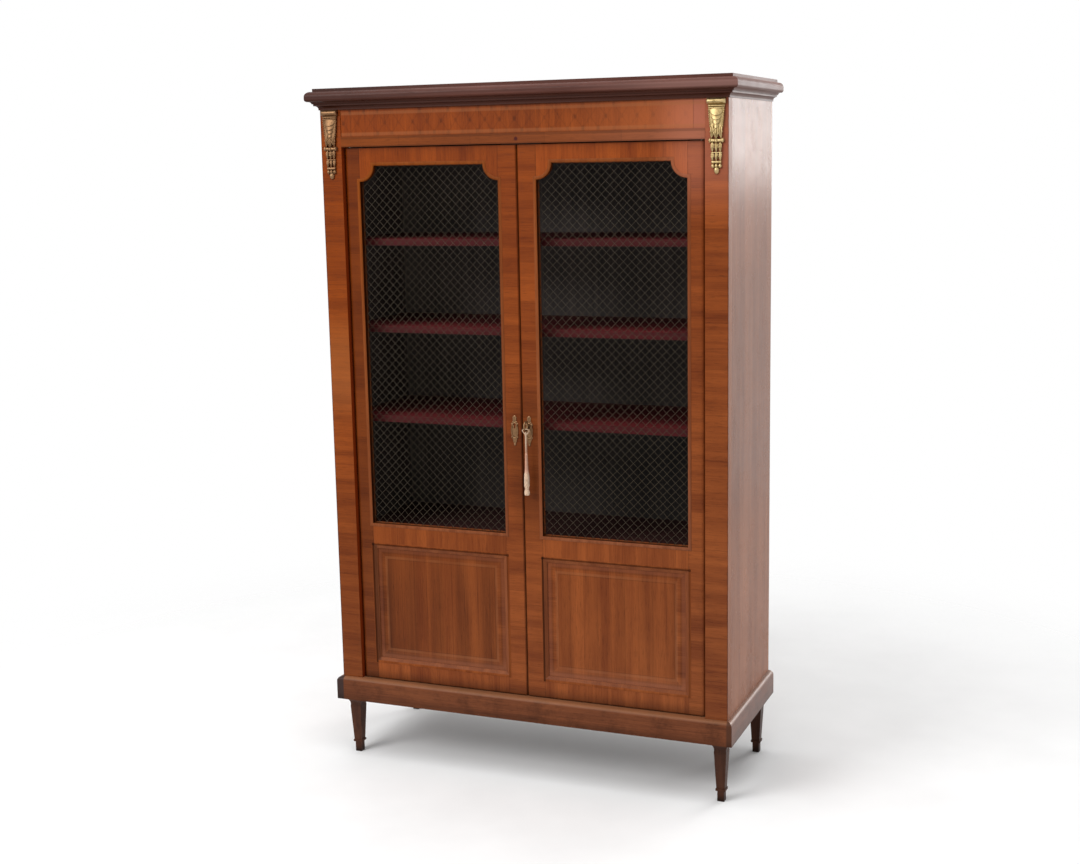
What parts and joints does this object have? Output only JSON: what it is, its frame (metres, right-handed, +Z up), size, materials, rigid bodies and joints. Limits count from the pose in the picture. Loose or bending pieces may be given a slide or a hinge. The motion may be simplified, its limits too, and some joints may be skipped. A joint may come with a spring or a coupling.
{
  "type": "bookcase",
  "caption": "Free-standing wooden bookcase with hinged wire-mesh doors over sunk panels, moulded cornice, bronze drops, shelves, lock and tapered feet.",
  "frame": {"origin": "middle of the bounding box in plan, on the floor", "axes": "+Z up, +X to the viewer's right, +Y from the doors to the back"},
  "size_m": [1.208, 0.473, 1.9],
  "materials": {
    "veneer": "French-polished figured veneer, cross-banded",
    "dark_moulding": "dark polished wood",
    "bead_wood": "polished light wood",
    "carcass_wood": "plain oiled softwood",
    "red_shelf": "red-brown stained board",
    "gilt_bronze": "worn mercury gilding on cast bronze",
    "brass_wire": "dull drawn wire",
    "iron": "dark worn steel",
    "cord": "cream twisted silk"
  },
  "bodies": {
    "carcass": {"frieze_rail": "veneer", "left_corner_stile": "veneer", "right_corner_stile": "veneer", "left_side": "veneer", "right_side": "veneer", "cornice_front": "dark_moulding", "left_cornice": "dark_moulding", "right_cornice": "dark_moulding", "plinth_front": "dark_moulding", "left_plinth": "dark_moulding", "right_plinth": "dark_moulding", "left_front_foot": "dark_moulding", "right_front_foot": "dark_moulding", "left_back_foot": "dark_moulding", "right_back_foot": "dark_moulding", "top_board": "carcass_wood", "bottom_board": "carcass_wood", "back_boards": "carcass_wood", "plinth_back": "carcass_wood", "head_stops": "carcass_wood", "shelf_pegs": "carcass_wood", "upper_shelf": "red_shelf", "middle_shelf": "red_shelf", "lower_shelf": "red_shelf", "base_shelf": "red_shelf", "left_bronze_drop": "gilt_bronze", "right_bronze_drop": "gilt_bronze", "drop_pins": "gilt_bronze", "bolt_keepers": "iron", "back_screws": "iron", "pivot_sockets": "iron"},
    "left_door": {"left_hinge_stile": "veneer", "left_meeting_stile": "veneer", "left_top_rail": "veneer", "left_middle_rail": "veneer", "left_bottom_rail": "veneer", "left_panel": "veneer", "left_beads": "bead_wood", "left_mesh": "brass_wire", "left_pivots": "iron", "left_keyhole_plate": "gilt_bronze", "lock_strike": "iron", "bolt_guides": "iron"},
    "right_door": {"right_hinge_stile": "veneer", "right_meeting_stile": "veneer", "right_top_rail": "veneer", "right_middle_rail": "veneer", "right_bottom_rail": "veneer", "right_panel": "veneer", "right_beads": "bead_wood", "right_mesh": "brass_wire", "right_pivots": "iron", "right_keyhole_plate": "gilt_bronze", "lock_case": "iron"},
    "key": {"key": "iron"},
    "lock_bolt": {"lock_bolt": "iron"},
    "tassel": {"tassel_cord": "cord", "tassel": "cord"},
    "upper_bolt": {"upper_bolt": "iron"},
    "lower_bolt": {"lower_bolt": "iron"}
  },
  "joints": [
    {"name": "left_door_hinge", "type": "hinge", "parent": "carcass", "child": "left_door", "pos_m": [-0.498, -0.1825, 0.99], "axis": [0, 0, -1], "range_deg": [0, 90]},
    {"name": "right_door_hinge", "type": "hinge", "parent": "carcass", "child": "right_door", "pos_m": [0.498, -0.1825, 0.99], "axis": [0, 0, 1], "range_deg": [0, 90]},
    {"name": "key_turn", "type": "hinge", "parent": "right_door", "child": "key", "pos_m": [0.021, -0.1825, 1], "axis": [0, 1, 0], "range_deg": [0, 90]},
    {"name": "lock_bolt_slide", "type": "slide", "parent": "right_door", "child": "lock_bolt", "axis": [-1, 0, 0], "range_m": [0, 0.01]},
    {"name": "tassel_swing", "type": "hinge", "parent": "key", "child": "tassel", "pos_m": [0.021, -0.2195, 0.988], "axis": [0, 1, 0], "range_deg": [-90, 0]},
    {"name": "upper_bolt_slide", "type": "slide", "parent": "left_door", "child": "upper_bolt", "axis": [0, 0, 1], "range_m": [0, 0.014]},
    {"name": "lower_bolt_slide", "type": "slide", "parent": "left_door", "child": "lower_bolt", "axis": [0, 0, -1], "range_m": [0, 0.014]}
  ],
  "couplings": [
    {"joint": "lock_bolt_slide", "follows": "key_turn", "m_per_rad": 0.006366},
    {"joint": "tassel_swing", "follows": "key_turn", "ratio": -1}
  ]
}
